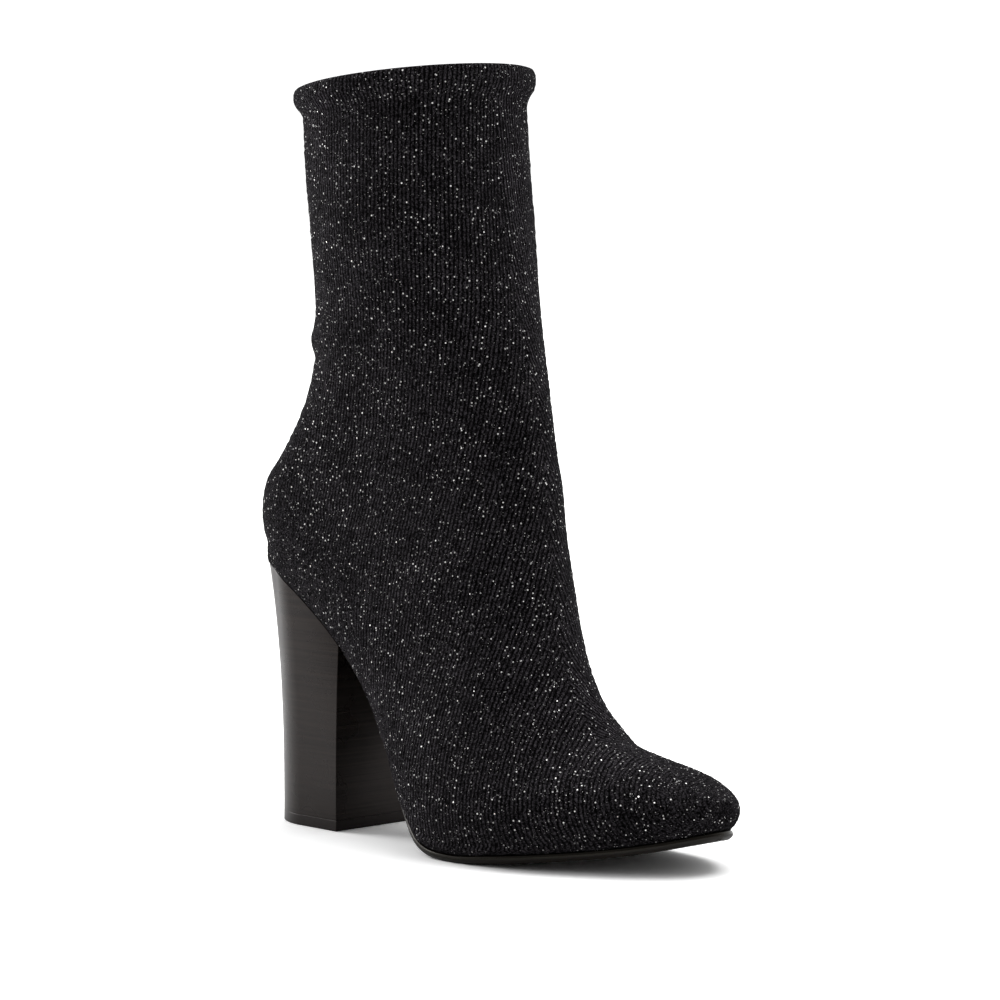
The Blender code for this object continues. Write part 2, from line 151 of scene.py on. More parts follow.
def smooth_rows(knots, values, at):
    """Reads the smooth curve through the rows of values, which lie at knots."""
    slopes = np.gradient(values, knots, axis=0)
    k = np.clip(np.searchsorted(knots, at, side="right") - 1, 0, len(knots) - 2)
    span = (knots[k + 1] - knots[k])[:, None]
    u = (at - knots[k])[:, None] / span
    rise = 3 * u**2 - 2 * u**3
    leave, arrive = u**3 - 2 * u**2 + u, u**3 - u**2
    return (1 - rise) * values[k] + rise * values[k + 1] + span * (leave * slopes[k] + arrive * slopes[k + 1])


def foot_section(row):
    """A section in metres: low x, low z, top x, top z, mid, flat, outer, inner, widest, full."""
    ground = SOLE_THICKNESS + CLEARANCE
    low_x = row.low_x * LENGTH
    low_z = ground + row.spring * TOE_SPRING + row.rise * (HEEL_HEIGHT - ground)
    lean, depth = math.radians(row.lean), row.depth * INSTEP_DEPTH
    top = [low_x + depth * math.sin(lean), low_z + depth * math.cos(lean)]
    across = [share * BALL_WIDTH for share in (row.mid, row.flat, row.outer, row.inner)]
    return [low_x, low_z, *top, *across, row.widest, row.full]


def shaft_section(row):
    """The same columns for a section of the shaft."""
    low_x, low_z = row.back * SHAFT_DEPTH, HEEL_HEIGHT + row.height * SHAFT_HEIGHT
    tilt, depth, half = math.radians(row.tilt), row.depth * SHAFT_DEPTH, row.width * SHAFT_WIDTH / 2
    top = [low_x + depth * math.cos(tilt), low_z + depth * math.sin(tilt)]
    return [low_x, low_z, *top, 0.0, 0.0, half, half, row.widest, row.full]


ROWS = np.array([foot_section(row) for row in FOOT] + [shaft_section(row) for row in SHAFT])
steps = np.diff(ROWS[:, :4], axis=0)
KNOTS = np.concatenate([[0.0], np.cumsum((np.hypot(*steps[:, :2].T) + np.hypot(*steps[:, 2:].T)) / 2)])


def rounding(x, start, end):
    """1 up to start, then a quarter of an ellipse that falls to 0 at end."""
    return np.sqrt(1 - np.clip((x - start) / (end - start), 0, 1) ** 2)


def sections(at):
    """The sections at these distances from the toe, with the toe and the heel seat rounded off in plan."""
    rows = smooth_rows(KNOTS, ROWS, np.asarray(at))
    low_x, top_x = rows[:, 0].copy(), rows[:, 2].copy()
    feather_tip = LENGTH - TOE_BULGE
    width = rounding(low_x, LENGTH - TOE_ROUND - TOE_BULGE, LENGTH)
    rows[:, 5] = np.maximum(rows[:, 5], 0) * rounding(low_x, feather_tip - TOE_ROUND, feather_tip)
    in_heel = (low_x < HEEL_OVERHANG + HEEL_ROUND) & (rows[:, 5] > 0)
    seat_round = rounding(-low_x, -HEEL_OVERHANG - HEEL_ROUND, -HEEL_OVERHANG)
    rows[:, 5] = np.where(in_heel, rows[:, 5] * seat_round, rows[:, 5])
    rows[:, 6:8] *= width[:, None]
    nose_z = rows[:, 1] + NOSE_HEIGHT
    lift = NOSE_HEIGHT * (1 - rounding(low_x, feather_tip, LENGTH))
    drop = rounding(top_x, LENGTH - NOSE_ROUND, LENGTH)
    in_toe = low_x > feather_tip - TOE_ROUND - NOSE_ROUND
    rows[:, 3] = np.where(in_toe, nose_z + (rows[:, 3] - nose_z) * drop, rows[:, 3])
    rows[:, 1] += lift
    return rows


def heel_turn(back, cuts):
    """Places round the back of the heel, and the share of the half width at each."""
    angles = np.radians(np.linspace(90 / cuts, 90, cuts))
    return back + HEEL_ROUND * (1 - np.cos(angles)), np.sin(angles)


def knit_stations():
    """Distances from the toe at which the knit is cut, close together at the toe, the heel and the cuff."""
    fine = np.linspace(0, KNOTS[-1], 8000)
    low_x = smooth_rows(KNOTS, ROWS, fine)[:, 0]
    foot = slice(0, np.argmin(low_x))
    turn = np.radians(np.linspace(88, 0, TOE_STATIONS))
    toe = np.interp(-LENGTH + (TOE_ROUND + TOE_BULGE) * (1 - np.sin(turn)), -low_x[foot], fine[foot])
    heel = np.interp(-heel_turn(HEEL_OVERHANG, HEEL_STATIONS)[0][::-1], -low_x[foot], fine[foot])
    cuff = KNOTS[-1] - CUFF_HEIGHT * (1 - np.array(CUFF)[:, 0])
    body = np.linspace(toe[-1], heel[0], round((heel[0] - toe[-1]) / STATION_STEP) + 1)
    shaft = np.linspace(heel[-1], cuff[0], round((cuff[0] - heel[-1]) / STATION_STEP) + 1)
    return np.concatenate([toe[:-1], body[:-1], heel, shaft[1:], cuff[1:]])


def half_outline(flat, half, depth, widest, full):
    """From the middle of the underside, out along it, up the side and in to the top, as y and t."""
    turn = np.linspace(0, math.pi / 2, FINE)
    low, up = widest * depth, 1 - np.cos(turn)
    side = np.stack([flat + (half - flat) * (1 - (1 - up) ** 2) ** (1 / (2 - flat / half)), low * up], 1)
    bend = 2 / full
    over = np.stack([half * np.cos(turn) ** bend, low + (depth - low) * np.sin(turn) ** bend], 1)
    return np.concatenate([[[0.0, 0.0]], side, over[1:]])


def spaced(outline, flat):
    """The outline at FLAT_CUTS places under the foot and SIDE_CUTS up the side."""
    along = np.concatenate([[0.0], np.cumsum(np.hypot(*np.diff(outline, axis=0).T))])
    edge = max(flat, min(SMALLEST_FLAT, along[-1] / 5))
    margin = max(1 / FLAT_CUTS, 1 - LASTING_MARGIN / edge)
    under = edge * np.concatenate([[0.0], np.linspace(margin, 1, FLAT_CUTS)])
    side = edge + (along[-1] - edge) * (np.arange(1, SIDE_CUTS + 1) / SIDE_CUTS) ** SIDE_CROWDING
    at = np.concatenate([under, side])
    return np.stack([np.interp(at, along, outline[:, 0]), np.interp(at, along, outline[:, 1])], 1)


def section_ring(row, swell=0.0):
    """One closed section: the outer side up to the top, then the inner side back down."""
    low, top = row[:2], row[2:4]
    along = (top - low) / np.hypot(*(top - low))
    low, depth = low - along * swell, np.hypot(*(top - low)) + 2 * swell
    outer = spaced(half_outline(row[5], row[6] + swell, depth, row[8], row[9]), row[5])
    inner = spaced(half_outline(row[5], row[7] + swell, depth, row[8], row[9]), row[5])
    y = np.concatenate([-outer[:, 0], inner[-2:0:-1, 0]]) + row[4]
    t = np.concatenate([outer[:, 1], inner[-2:0:-1, 1]])
    return np.stack([low[0] + along[0] * t, y, low[1] + along[1] * t], 1)


def outward(grid, at):
    """Outward normals of a grid of rings at these distances."""
    out = np.cross(np.roll(grid, -1, axis=1) - np.roll(grid, 1, axis=1), np.gradient(grid, at, axis=0))
    return out / np.linalg.norm(out, axis=2, keepdims=True)


def dimple(fold, share, places):
    """The depth of a fold at each share of the way and each place round, which fades out smoothly."""
    along, across = (share - fold.at) / fold.reach_at, (places - fold.round) / fold.reach_round
    return fold.depth * np.exp(-(along[:, None] ** 2 + across[None] ** 2))


def folds(at, places):
    """How far the knit is pushed in at each place of each ring."""
    push = np.zeros((len(at), len(places)))
    for fold in FOLDS:
        push += dimple(fold, at / KNOTS[-1], places)
    return push


def rib_numbers(half, lean, at):
    """Numbers the ribs over one side of the knit, as evenly as their pitch and their lean allow.

    Each thread of a coarse net asks for as many ribs as it crosses, and a least squares fit settles them.
    """
    rings, spots = half.shape[:2]
    across = np.gradient(half, axis=1)
    across /= np.linalg.norm(across, axis=2, keepdims=True)
    onward = np.gradient(half, axis=0)
    onward -= across * (onward * across).sum(axis=2, keepdims=True)
    onward /= np.linalg.norm(onward, axis=2, keepdims=True)
    share, height = at / KNOTS[-1], np.linspace(0, 1, spots)
    low = np.interp(share, [row.at for row in RIB_LEAN], [row.low for row in RIB_LEAN])
    high = np.interp(share, [row.at for row in RIB_LEAN], [row.high for row in RIB_LEAN])
    turn = lean[:, None] - np.radians(low[:, None] + (high - low)[:, None] * height)
    wanted = (np.sin(turn)[..., None] * across - np.cos(turn)[..., None] * onward) / RIB_PITCH
    index = np.arange(rings * spots).reshape(rings, spots)
    net, pull = np.zeros((rings * spots,) * 2), np.zeros(rings * spots)
    up_step = np.linalg.norm(half[1:] - half[:-1], axis=2).mean()
    round_step = np.linalg.norm(half[:, 1:] - half[:, :-1], axis=2).mean()
    for a, b, weight in (
        ((slice(None), slice(None, -1)), (slice(None), slice(1, None)), up_step / round_step),
        ((slice(None, -1), slice(None)), (slice(1, None), slice(None)), round_step / up_step),
    ):
        crossed = ((wanted[a] + wanted[b]) / 2 * (half[b] - half[a])).sum(axis=2).ravel()
        i, j = index[a].ravel(), index[b].ravel()
        for one, other, sign in ((i, j, -1), (j, i, 1)):
            np.add.at(net, (one, one), weight)
            np.add.at(net, (one, other), -weight)
            np.add.at(pull, one, sign * weight * crossed)
    net[0, 0] += 1
    return np.linalg.solve(net, pull).reshape(rings, spots)


def smoother(start, end, x):
    """0 up to start, 1 from end, and a soft step between."""
    u = np.clip((x - start) / (end - start), 0, 1)
    return u * u * (3 - 2 * u)


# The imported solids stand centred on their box, so the last's own coordinates are shifted to where the heel
# stands
tip_low, tip_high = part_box("heel_tip")
BREAST_AT = 0.0586
SHIFT = np.array([tip_high[0] - BREAST_AT, (tip_low[1] + tip_high[1]) / 2, 0.0])


def make_piece(name, points, faces, finishes, chosen=None, smooth=40):
    """A mesh object in the frame's place with these finishes, sharp at turns of over smooth degrees."""
    mesh = bpy.data.meshes.new(name)
    mesh.from_pydata((np.asarray(points) + SHIFT).tolist(), [], faces)
    for finish in finishes:
        mesh.materials.append(finish)
    if chosen is not None:
        mesh.polygons.foreach_set("material_index", chosen)
    mesh.shade_smooth()
    mesh.set_sharp_from_angle(angle=math.radians(smooth))
    made = bpy.data.objects.new(name, mesh)
    bpy.context.scene.collection.objects.link(made)
    return made


def linear(code, alpha=1.0):
    """An sRGB hex colour as Blender's linear one."""
    parts = [int(code[i : i + 2], 16) / 255 for i in (1, 3, 5)]
    return (*(c / 12.92 if c <= 0.04045 else ((c + 0.055) / 1.055) ** 2.4 for c in parts), alpha)


def add_node(tree, kind, inputs=None, **settings):
    """Adds a shader node with its settings, and with values or links on its inputs."""
    made = tree.nodes.new("ShaderNode" + kind)
    for name, value in settings.items():
        setattr(made, name, value)
    for socket, value in (inputs or {}).items():
        if isinstance(value, bpy.types.NodeSocket):
            tree.links.new(value, made.inputs[socket])
        else:
            made.inputs[socket].default_value = value
    return made


def new_material(name):
    """An empty node material, with its tree and its Principled shader."""
    made = bpy.data.materials.new(name)
    made.use_nodes = True
    return made, made.node_tree, made.node_tree.nodes["Principled BSDF"]


# Viscose rib knit with a flat silver yarn: a soft black that takes most of the light, with fuzz at its
# edges, and small bright flakes where the flat metal yarn turns to the light
# The groove colour is painted shade in the hollows of the ribs and loops; the ridge colour is the yarn's own
KNIT_GROOVE_SHADE = "#010101"
KNIT_RIDGE = "#464347"
KNIT_FUZZ = "#8d8a92"
SILVER_YARN = "#fbfaf8"
# A loop's size, how far a rib strays and how full it is, how high the smooth knit of the stiffened places
# stands against a rib, and how deep the grooves are
STITCH = 0.0006
RIB_WANDER = 0.5
RIB_FULLNESS = 0.6
STRETCHED_RIB = 0.7
KNIT_RELIEF = 0.0006
# The sum of rib, loops and each loop's own tone that gives the groove's colour, and the one that gives the
# ridge's, with the power that keeps most of the yarn dark between them. The groove's colour is painted shade:
# the yarn is drawn darker where the ribs and loops lie low, while each loop's own tone is the yarn's.
DARK_UP_TO = 1.30
LIGHT_FROM = 2.50
DARK_SHARE = 1.9
# Two sizes of flake, as their spacing and radius, the share of the spaces that hold one, and the brightness
# of the dullest. A real one is too fine to show, so each is drawn as wide as a pixel or two of the render.
Flake = namedtuple("Flake", "cell size share least")
FLAKES = (Flake(0.0018, 0.00034, 0.68, 0.05), Flake(0.0008, 0.00015, 0.22, 0.03))
# The share of the radius at which a flake starts to fade, and how far it tilts
FLAKE_EDGE = 0.8
FLAKE_TILT = 1.4
rib_knit, tree, shader = new_material("rib knit with silver yarn")
rib = add_node(tree, "Attribute", attribute_name="rib").outputs["Fac"]
calm = add_node(tree, "Attribute", attribute_name="calm").outputs["Fac"]
place = add_node(tree, "TexCoord").outputs["Object"]
wander = add_node(tree, "TexNoise", {"Vector": place, "Scale": 0.2 / STITCH, "Detail": 1.0}).outputs["Fac"]
loops = add_node(tree, "TexNoise", {"Vector": place, "Scale": 1 / STITCH, "Detail": 2.0}).outputs["Fac"]
cloudy = add_node(tree, "TexNoise", {"Vector": place, "Scale": 60.0, "Detail": 3.0}).outputs["Fac"]
swayed = add_node(tree, "Math", {0: wander, 1: RIB_WANDER, 2: rib}, operation="MULTIPLY_ADD").outputs[0]
phase = add_node(tree, "Math", {0: swayed, 1: math.pi}, operation="MULTIPLY").outputs[0]
wave = add_node(tree, "Math", {0: phase}, operation="SINE").outputs[0]
fold_up = add_node(tree, "Math", {0: wave}, operation="ABSOLUTE").outputs[0]
round_rib = add_node(tree, "Math", {0: fold_up, 1: RIB_FULLNESS}, operation="POWER").outputs[0]
fade = add_node(tree, "Math", {0: 1.0, 1: calm}, operation="SUBTRACT").outputs[0]
flat_rib = add_node(tree, "Math", {0: calm, 1: STRETCHED_RIB}, operation="MULTIPLY").outputs[0]
relief = add_node(tree, "Math", {0: round_rib, 1: fade, 2: flat_rib}, operation="MULTIPLY_ADD").outputs[0]
height = add_node(tree, "Math", {0: loops, 1: 0.9, 2: relief}, operation="MULTIPLY_ADD").outputs[0]
bump = add_node(tree, "Bump", {"Height": height, "Distance": KNIT_RELIEF, "Strength": 0.9}).outputs[0]
each_loop = add_node(tree, "TexVoronoi", {"Vector": place, "Scale": 1.35 / STITCH}).outputs["Color"]
loop_tone = add_node(tree, "SeparateColor", {0: each_loop}).outputs[0]
# Painted shade: the yarn's colour darkens where the ribs and loops lie low, with each loop's own random tone
# added
shade = add_node(tree, "Math", {0: loops, 1: relief}, operation="ADD").outputs[0]
shade = add_node(tree, "Math", {0: loop_tone, 1: shade}, operation="ADD").outputs[0]
groove_shade_and_loop_tone = add_node(tree, "MapRange", {"Value": shade, 1: DARK_UP_TO, 2: LIGHT_FROM}).outputs[0]
groove_shade_and_loop_tone = add_node(tree, "Math", {0: groove_shade_and_loop_tone, 1: DARK_SHARE}, operation="POWER").outputs[0]
yarn = {"Factor": groove_shade_and_loop_tone, 6: linear(KNIT_GROOVE_SHADE), 7: linear(KNIT_RIDGE)}
yarn = add_node(tree, "Mix", yarn, data_type="RGBA").outputs[2]
patchy = add_node(tree, "MapRange", {"Value": cloudy, 1: 0.3, 2: 0.7, 3: 0.75, 4: 1.2}).outputs[0]
yarn = add_node(tree, "Mix", {"Factor": 1.0, 6: yarn, 7: patchy}, data_type="RGBA", blend_type="MULTIPLY")

# Each flake lies tilted its own way, so that only some catch the light
flakes, normals = [], [bump]
for flake in FLAKES:
    spots = add_node(tree, "TexVoronoi", {"Vector": place, "Scale": 1 / flake.cell})
    rim_at = flake.size / flake.cell
    disc = add_node(tree, "MapRange", {"Value": spots.outputs["Distance"], 1: rim_at, 2: FLAKE_EDGE * rim_at})
    chance = add_node(tree, "SeparateColor", {0: spots.outputs["Color"]}).outputs[0]
    glints = add_node(tree, "MapRange", {"Value": chance, 1: 1 - flake.share, 2: 1.0}).outputs[0]
    turned = add_node(tree, "Math", {0: glints, 1: 0.9}, operation="POWER").outputs[0]
    bright = {0: turned, 1: 1 - flake.least, 2: flake.least}
    bright = add_node(tree, "Math", bright, operation="MULTIPLY_ADD").outputs[0]
    there = add_node(tree, "Math", {0: chance, 1: 1 - flake.share}, operation="GREATER_THAN").outputs[0]
    seen = add_node(tree, "Math", {0: disc.outputs[0], 1: there}, operation="MULTIPLY").outputs[0]
    flakes.append(add_node(tree, "Math", {0: seen, 1: bright}, operation="MULTIPLY").outputs[0])
    lean_over = {0: spots.outputs["Color"], 1: (FLAKE_TILT,) * 3, 2: normals[-1]}
    lean_over = add_node(tree, "VectorMath", lean_over, operation="MULTIPLY_ADD").outputs[0]
    lean_over = add_node(tree, "VectorMath", {0: lean_over, 1: (FLAKE_TILT / 2,) * 3}, operation="SUBTRACT")
    tilted = {"Factor": disc.outputs[0], 4: normals[-1], 5: lean_over.outputs[0]}
    tilted = add_node(tree, "Mix", tilted, data_type="VECTOR").outputs[1]
    normals.append(add_node(tree, "VectorMath", {0: tilted}, operation="NORMALIZE").outputs[0])
glitter = add_node(tree, "Math", {0: flakes[0], 1: flakes[1]}, operation="MAXIMUM").outputs[0]
colour = {"Factor": glitter, 6: yarn.outputs[2], 7: linear(SILVER_YARN)}
colour = add_node(tree, "Mix", colour, data_type="RGBA").outputs[2]
tree.links.new(colour, shader.inputs["Base Color"])
tree.links.new(normals[-1], shader.inputs["Normal"])
tree.links.new(glitter, shader.inputs["Metallic"])
shine = add_node(tree, "MapRange", {"Value": glitter, 3: 0.85, 4: 0.3}).outputs[0]
tree.links.new(shine, shader.inputs["Roughness"])
shader.inputs["Specular IOR Level"].default_value = 0.01
shader.inputs["Sheen Weight"].default_value = 0.05
shader.inputs["Sheen Roughness"].default_value = 0.35
shader.inputs["Sheen Tint"].default_value = linear(KNIT_FUZZ)

# The knit's plain back, which shows inside the collar: matt black loops with no flakes
knit_back, tree, shader = new_material("plain knit back")
place = add_node(tree, "TexCoord").outputs["Object"]
loops = add_node(tree, "TexNoise", {"Vector": place, "Scale": 1 / STITCH, "Detail": 2.0}).outputs["Fac"]
tone = {"Factor": loops, 6: linear("#0b0a0b"), 7: linear("#2b292c")}
tone = add_node(tree, "Mix", tone, data_type="RGBA").outputs[2]
tree.links.new(tone, shader.inputs["Base Color"])
back_bump = add_node(tree, "Bump", {"Height": loops, "Distance": 0.0004, "Strength": 0.8}).outputs[0]
tree.links.new(back_bump, shader.inputs["Normal"])
shader.inputs["Roughness"].default_value = 0.9
shader.inputs["Sheen Weight"].default_value = 0.1

at = knit_stations()
rows = sections(at)
up = (at - at[-1]) / CUFF_HEIGHT + 1
cuff = np.array(CUFF)
swell = CUFF_SWELL * np.interp(up, cuff[:, 0], cuff[:, 1])
plain = np.array([section_ring(row) for row in rows])
count, size = plain.shape[:2]
half_size = size // 2 + 1
half_place = np.linspace(0, 1, half_size)
round_place = np.concatenate([-half_place, half_place[-2:0:-1]])
push = folds(at, round_place)[..., None] * outward(plain, at)
spread = np.minimum(np.gradient(at) / STATION_STEP, 1)[:, None, None]
uneven = np.random.default_rng(SEED).normal(0, UNEVEN, (count, size, 1)) * spread * outward(plain, at)
outer_skin = np.array([section_ring(row, out) for row, out in zip(rows, swell)]) - push + uneven
inner_skin = plain - push - outward(plain, at) * WALL

# The rolled rim, from the outer skin over to the inner one
rise = plain[-1] - plain[-2]
rise /= np.linalg.norm(rise, axis=1, keepdims=True)
middle, reach = (outer_skin[-1] + inner_skin[-1]) / 2, (outer_skin[-1] - inner_skin[-1]) / 2
turns = np.linspace(0, math.pi, RIM_CUTS + 2)[1:-1]
rim = np.array([middle + reach * math.cos(turn) + rise * math.sin(turn) * WALL / 2 for turn in turns])

# Ribs are numbered on a coarse net of one side and carried to every ring and place
net_at = np.unique(np.append(np.arange(0, count, NET_STEP), count - 1))
net_place = np.unique(np.append(np.arange(0, half_size, NET_STEP), half_size - 1))
lean = np.arctan2(rows[:, 2] - rows[:, 0], rows[:, 3] - rows[:, 1])
net = rib_numbers(plain[np.ix_(net_at, net_place)], lean[net_at], at[net_at])
by_place = smooth_rows(net_place.astype(float), net.T, np.arange(half_size, dtype=float)).T
ribs = smooth_rows(net_at.astype(float), by_place, np.arange(count, dtype=float))
ribs = np.concatenate([ribs, ribs[:, -2:0:-1]], axis=1)

# The stiffened heel counter and toe puff stretch the knit, so its ribs hardly show there. The counter starts,
# ends and fades up the sides between these shares, and the puff fades between the last two.
COUNTER_FROM = (0.40, 0.48)
COUNTER_TO = (0.60, 0.70)
COUNTER_SIDE = (0.45, 0.75)
PUFF_TO = (0.03, 0.12)
COUNTER_CALM = 0.75
PUFF_CALM = 0.60
low_side = 1 - np.abs(round_place)
share = (at / KNOTS[-1])[:, None]
counter = smoother(*COUNTER_FROM, share) * (1 - smoother(*COUNTER_TO, share))
counter = counter * smoother(*COUNTER_SIDE, low_side)
puff = 1 - smoother(*PUFF_TO, share)
calm_grid = np.clip(COUNTER_CALM * counter + PUFF_CALM * puff, 0, 1)

# Near the collar's front a few ribs are drawn together, and their grooves lie deeper and take more painted
# shade
calm_grid -= dimple(PINCH_AND_SHADE, at / KNOTS[-1], round_place)

# Quads between the rings, outer and inner skin at once, left open inside the lasting margin under the foot
hole = [i for i in range(count) if rows[i, 5] > LASTING_MARGIN + SMALLEST_FLAT / 3]
first, last = hole[0], hole[-1]
skin = count * size
faces, chosen = [], []
for i in range(count - 1):
    for j in range(size):
        if first <= i < last and j in (0, size - 1):
            continue
        k = (j + 1) % size
        quad = (i * size + j, i * size + k, (i + 1) * size + k, (i + 1) * size + j)
        faces += [quad, tuple(corner + skin for corner in reversed(quad))]
        chosen += [0, 1]

# The wall's edge round that opening, then the rolled rim, then the strips that close the two skins at the toe
border = [(i, 1) for i in range(first, last + 1)] + [(last, 0)]
border += [(i, size - 1) for i in range(last, first - 1, -1)] + [(first, 0)]
for (i, j), (k, m) in zip(border, border[1:] + border[:1]):
    faces.append((i * size + j, k * size + m, k * size + m + skin, i * size + j + skin))
    chosen.append(1)
levels = [(count - 1) * size] + [2 * skin + i * size for i in range(RIM_CUTS)] + [skin + (count - 1) * size]
for below_it, above_it in zip(levels, levels[1:]):
    for j in range(size):
        k = (j + 1) % size
        faces.append((below_it + j, below_it + k, above_it + k, above_it + j))
        chosen.append(0)
for start in (0, skin):
    cap = [(start, start + 1, start + size - 1)]
    for j in range(1, size // 2 - 1):
        cap.append((start + j, start + j + 1, start + size - j - 1, start + size - j))
    cap.append((start + size // 2 - 1, start + size // 2, start + size // 2 + 1))
    faces += [tuple(reversed(face)) for face in cap] if start == 0 else cap
    chosen += [0 if start == 0 else 1] * len(cap)
points = np.concatenate([outer_skin.reshape(-1, 3), inner_skin.reshape(-1, 3), rim.reshape(-1, 3)])
knit_upper = make_piece("knit_upper", points, faces, [rib_knit, knit_back], chosen, smooth=75)
rim_ribs = np.tile(ribs[-1], RIM_CUTS)
for name, outer_part, rim_part in (("rib", ribs, rim_ribs), ("calm", calm_grid, np.zeros(size * RIM_CUTS))):
    layer = knit_upper.data.attributes.new(name, "FLOAT", "POINT")
    layer.data.foreach_set("value", np.concatenate([outer_part.ravel(), outer_part.ravel(), rim_part]))
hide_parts("upper")
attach(knit_upper, "root")

# The insole
# A thin padded lining glued over the board that the knit's margin is turned under, soft grey leather
INSOLE_THICKNESS = 0.002
INSOLE_INSET = 0.0035
INSOLE_CUTS = 90
INSOLE_SPOTS = 16
INSOLE_CROWN = 0.0004
LINING_GRAIN = 0.0012
# How far apart the underside is read to find its slope
PROBE = 0.0005

samples = sections(np.linspace(0, KNOTS[len(FOOT) - 3], 4000))
samples = samples[(samples[:, 0] > HEEL_OVERHANG) & (samples[:, 0] < LENGTH - TOE_BULGE)]
UNDER = samples[np.argsort(samples[:, 0])][:, [0, 1, 4, 5]]


def underside(x):
    """Height, middle and half width of the last's underside at x."""
    return [np.interp(x, UNDER[:, 0], UNDER[:, column]) for column in (1, 2, 3)]


def below(x, distance):
    """The point at this distance square below the underside at x; a negative distance lies above it."""
    near = min(x, UNDER[-1, 0] - PROBE)
    slope = (underside(near + PROBE)[0] - underside(near - PROBE)[0]) / (2 * PROBE)
    size = math.hypot(1, slope)
    return x + distance * slope / size, underside(near)[0] + slope * (x - near) - distance / size


def feather(x, side, grow):
    """A point of the feather line at x, moved out by grow, as x and y."""
    ends = [(place, underside(place)[1] + side * underside(place)[2])
            for place in (max(x - PROBE, UNDER[0, 0]), min(x + PROBE, UNDER[-1, 0]))]
    run = np.subtract(ends[1], ends[0]) / np.hypot(*np.subtract(ends[1], ends[0]))
    return x - side * run[1] * grow, underside(x)[1] + side * (underside(x)[2] + run[0] * grow)


def loft_faces(rings, spots):
    """Quads between closed rings that go out one side and back the other, with strips across each end."""
    quads = []
    for i in range(rings - 1):
        for j in range(spots):
            k = (j + 1) % spots
            quads.append((i * spots + j, i * spots + k, (i + 1) * spots + k, (i + 1) * spots + j))
    for start in (0, (rings - 1) * spots):
        for j in range(spots // 2 - 1):
            strip = (start + j, start + j + 1, start + spots - 2 - j, start + spots - 1 - j)
            quads.append(strip if start else strip[::-1])
    return quads


def even_round(start, end, turn_start, turn_end, cuts):
    """Places from start to end, crowded where the outline turns at either end."""
    lead = start + turn_start * (1 - np.cos(np.linspace(0, math.pi / 2, cuts // 4)))
    tail = end - turn_end * (1 - np.cos(np.linspace(math.pi / 2, 0, cuts // 4)))
    return np.concatenate([lead, np.linspace(lead[-1], tail[0], cuts)[1:-1], tail])


rings = []
inset_toe, inset_heel = LENGTH - TOE_BULGE - 2 * INSOLE_INSET, HEEL_OVERHANG + 2 * INSOLE_INSET
for x in even_round(inset_heel, inset_toe, 0.01, 0.01, INSOLE_CUTS):
    (left_x, left_y), (right_x, right_y) = feather(x, -1, -INSOLE_INSET), feather(x, 1, -INSOLE_INSET)
    top, bottom = [], []
    for spot in np.linspace(-1, 1, INSOLE_SPOTS):
        share = (spot + 1) / 2
        sx, sy = left_x + (right_x - left_x) * share, left_y + (right_y - left_y) * share
        crown = INSOLE_CROWN * (1 - spot**2) - INSOLE_CROWN * abs(spot) ** 8
        top_x, top_z = below(sx, -(WALL + CLEARANCE + INSOLE_THICKNESS + crown))
        low_x, low_z = below(sx, -(WALL + CLEARANCE))
        top.append((top_x, sy, top_z))
        bottom.append((low_x, sy, low_z))
    rings.append(top + bottom[::-1])

# Soft lining leather: matt grey, with a fine pebbled grain
lining_leather, tree, shader = new_material("grey lining leather")
place = add_node(tree, "TexCoord").outputs["Object"]
grain = add_node(tree, "TexVoronoi", {"Vector": place, "Scale": 1 / LINING_GRAIN}, feature="SMOOTH_F1")
cloud = add_node(tree, "TexNoise", {"Vector": place, "Scale": 40.0, "Detail": 3.0}).outputs["Fac"]
tone = {"Factor": cloud, 6: linear("#3f3c3a"), 7: linear("#575350")}
tone = add_node(tree, "Mix", tone, data_type="RGBA").outputs[2]
tree.links.new(tone, shader.inputs["Base Color"])
grain_bump = {"Height": grain.outputs["Distance"], "Distance": 0.0002, "Strength": 0.5}
grain_bump = add_node(tree, "Bump", grain_bump).outputs[0]
tree.links.new(grain_bump, shader.inputs["Normal"])
shader.inputs["Roughness"].default_value = 0.6
count, spots = len(rings), len(rings[0])
flat_rings = [point for ring in rings for point in ring]
insole = make_piece("insole_lining", flat_rings, loft_faces(count, spots), [lining_leather])
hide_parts("insole")
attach(insole, "root")

# The outsole
# A thin sole cut to the feather line and glued on. Its edge is rounded, dressed black and polished, and its
# lower corner and tread keep the warmer brown-black of the sole leather.
SOLE_EDGE = 0.0007
TREAD = 0.0005
SOLE_CUTS = 110
# At the waist the sole is trimmed in by WAIST_TUCK, and comes out to its full width between these two places
WAIST_TUCK = 0.0022
WAIST_FROM = 0.092
WAIST_TO = 0.132
# Down through the sole as a share of its thickness, out as a share of the edge's stand, and which finish: 0
# is the dressed edge and 1 the leather
EDGE_PROFILE = (
    (0.0, 0.30, 0), (0.06, 0.72, 0), (0.16, 0.95, 0), (0.30, 1.0, 0), (0.44, 0.96, 0),
    (0.58, 0.76, 1), (0.72, 0.30, 1), (0.86, -0.50, 1), (1.0, -1.8, 1), (1.0, -4.0, 1),
)
sole_start, sole_end = BREAST_AT + CLEARANCE, UNDER[-1, 0]
rings, thick = [], SOLE_THICKNESS + TREAD
for x in even_round(sole_start, sole_end, 0.002, TOE_ROUND, SOLE_CUTS):
    sides = []
    for side in (-1, 1):
        line = []
        for down, out, _ in EDGE_PROFILE:
            stand = out * SOLE_EDGE - WAIST_TUCK * (1 - smoother(WAIST_FROM, WAIST_TO, x))
            edge_x, edge_y = feather(x, side, max(stand, -underside(x)[2] / 2))
            level_x, level_z = below(edge_x, CLEARANCE + down * thick)
            line.append((max(level_x, sole_start), edge_y, max(level_z, 0)))
        sides.append(line)
    rings.append(sides[0][::-1] + sides[1])
